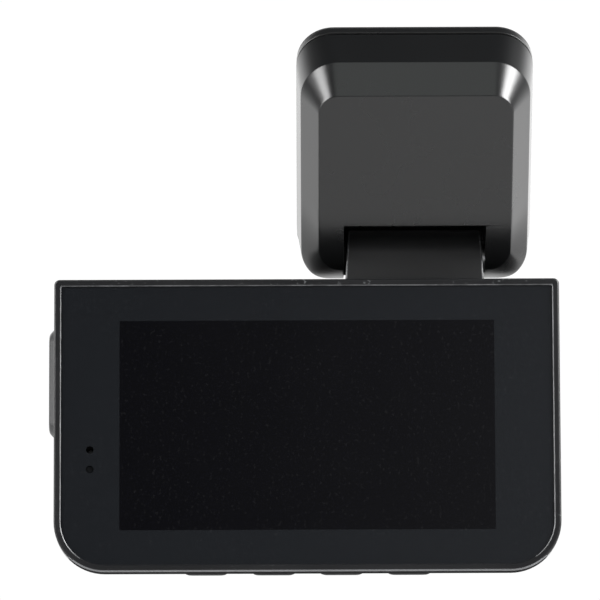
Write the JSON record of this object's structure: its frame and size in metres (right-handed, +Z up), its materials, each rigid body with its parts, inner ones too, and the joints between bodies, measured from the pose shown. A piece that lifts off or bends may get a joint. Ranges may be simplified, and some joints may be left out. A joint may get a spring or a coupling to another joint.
{
  "type": "dash camera",
  "caption": "Wide flat dash camera with a rear screen, lower push buttons and a side port cover, hung by a tilting neck from a slanted windshield mount.",
  "frame": {"origin": "centre of the adhesive face that sticks to the windshield", "axes": "+Z up, +Y towards the road (lens side), -Y towards the driver (screen side), +X to the right as seen from the driver's seat"},
  "size_m": [0.0907, 0.0456, 0.0958],
  "materials": {
    "case_plastic": "fine moulded texture",
    "mount_plastic": "satin",
    "button_plastic": "satin",
    "cover_glass": "polished",
    "panel": "polished",
    "foam_tape": "matte",
    "seal_rubber": "matte",
    "steel": "brushed",
    "black_steel": "black oxide",
    "tin_plate": "tinned",
    "aluminium": "satin",
    "anodised": "black anodised",
    "bush_plastic": "natural",
    "circuit_board": "solder mask",
    "chip_plastic": "moulded",
    "connector_plastic": "natural",
    "ribbon_film": "film",
    "white_film": "diffusing",
    "thermal_rubber": "matte",
    "lens_glass": "coated",
    "filter_glass": "coated",
    "sensor_glass": "polished",
    "capacitor_sleeve": "shrunk sleeve",
    "gold_plate": "plated",
    "clear_plastic": "polished"
  },
  "bodies": {
    "mount": {"adhesive_pad": "foam_tape", "mount_base_plate": "mount_plastic", "mount_shell": "mount_plastic", "base_plate_screws": "steel", "hinge_pin": "steel", "wave_washer": "steel", "friction_washers": "button_plastic"},
    "camera": {"hinge_neck": "mount_plastic", "barrel_bushes": "bush_plastic", "neck_screws": "steel", "neck_backing_plate": "steel", "rear_frame": "case_plastic", "front_housing": "case_plastic", "housing_screws": "black_steel", "display_glass": "cover_glass", "glass_tape": "foam_tape", "display_panel": "panel", "display_backlight": "white_film", "display_tray": "tin_plate", "tray_screws": "steel", "display_ribbon": "ribbon_film", "main_board": "circuit_board", "board_screws": "steel", "board_chips": "chip_plastic", "board_connectors": "connector_plastic", "processor": "chip_plastic", "processor_shield": "tin_plate", "thermal_pad": "thermal_rubber", "heat_sink": "aluminium", "lens_bezel": "anodised", "lens_barrel": "anodised", "lens_front_element": "lens_glass", "lens_inner_elements": "lens_glass", "lens_holder": "chip_plastic", "lens_seal": "seal_rubber", "infrared_filter": "filter_glass", "sensor_board": "circuit_board", "image_sensor": "sensor_glass", "button_board": "circuit_board", "tact_switches": "tin_plate", "usb_socket": "tin_plate", "card_socket": "tin_plate", "speaker": "black_steel", "speaker_mesh": "foam_tape", "speaker_contacts": "gold_plate", "microphone": "tin_plate", "microphone_boot": "seal_rubber", "status_led": "white_film", "led_light_pipe": "clear_plastic", "supercapacitors": "capacitor_sleeve", "port_cover_pin": "steel"},
    "port_cover": {"port_cover": "case_plastic"},
    "memory_card": {"memory_card": "chip_plastic"},
    "button_power": {"button_power": "button_plastic"},
    "button_menu": {"button_menu": "button_plastic"},
    "button_ok": {"button_ok": "button_plastic"},
    "button_lock": {"button_lock": "button_plastic"}
  },
  "joints": [
    {"name": "camera_tilt", "type": "hinge", "parent": "mount", "child": "camera", "pos_m": [0, 0.00389, -0.02033], "axis": [1, 0, 0], "range_deg": [-34, 21]},
    {"name": "port_cover_hinge", "type": "hinge", "parent": "camera", "child": "port_cover", "pos_m": [-0.06347, 0.00611, -0.04338], "axis": [0, 0, -1], "range_deg": [0, 90]},
    {"name": "memory_card_push", "type": "slide", "parent": "camera", "child": "memory_card", "axis": [1, 0, 0], "range_m": [0, 0.0008], "stiffness_N_per_m": 500, "springref_m": -0.0005},
    {"name": "button_power_push", "type": "slide", "parent": "camera", "child": "button_power", "axis": [0, 0, 1], "range_m": [0, 0.0004], "stiffness_N_per_m": 600, "springref_m": -0.0005},
    {"name": "button_menu_push", "type": "slide", "parent": "camera", "child": "button_menu", "axis": [0, 0, 1], "range_m": [0, 0.0004], "stiffness_N_per_m": 600, "springref_m": -0.0005},
    {"name": "button_ok_push", "type": "slide", "parent": "camera", "child": "button_ok", "axis": [0, 0, 1], "range_m": [0, 0.0004], "stiffness_N_per_m": 600, "springref_m": -0.0005},
    {"name": "button_lock_push", "type": "slide", "parent": "camera", "child": "button_lock", "axis": [0, 0, 1], "range_m": [0, 0.0004], "stiffness_N_per_m": 600, "springref_m": -0.0005}
  ]
}
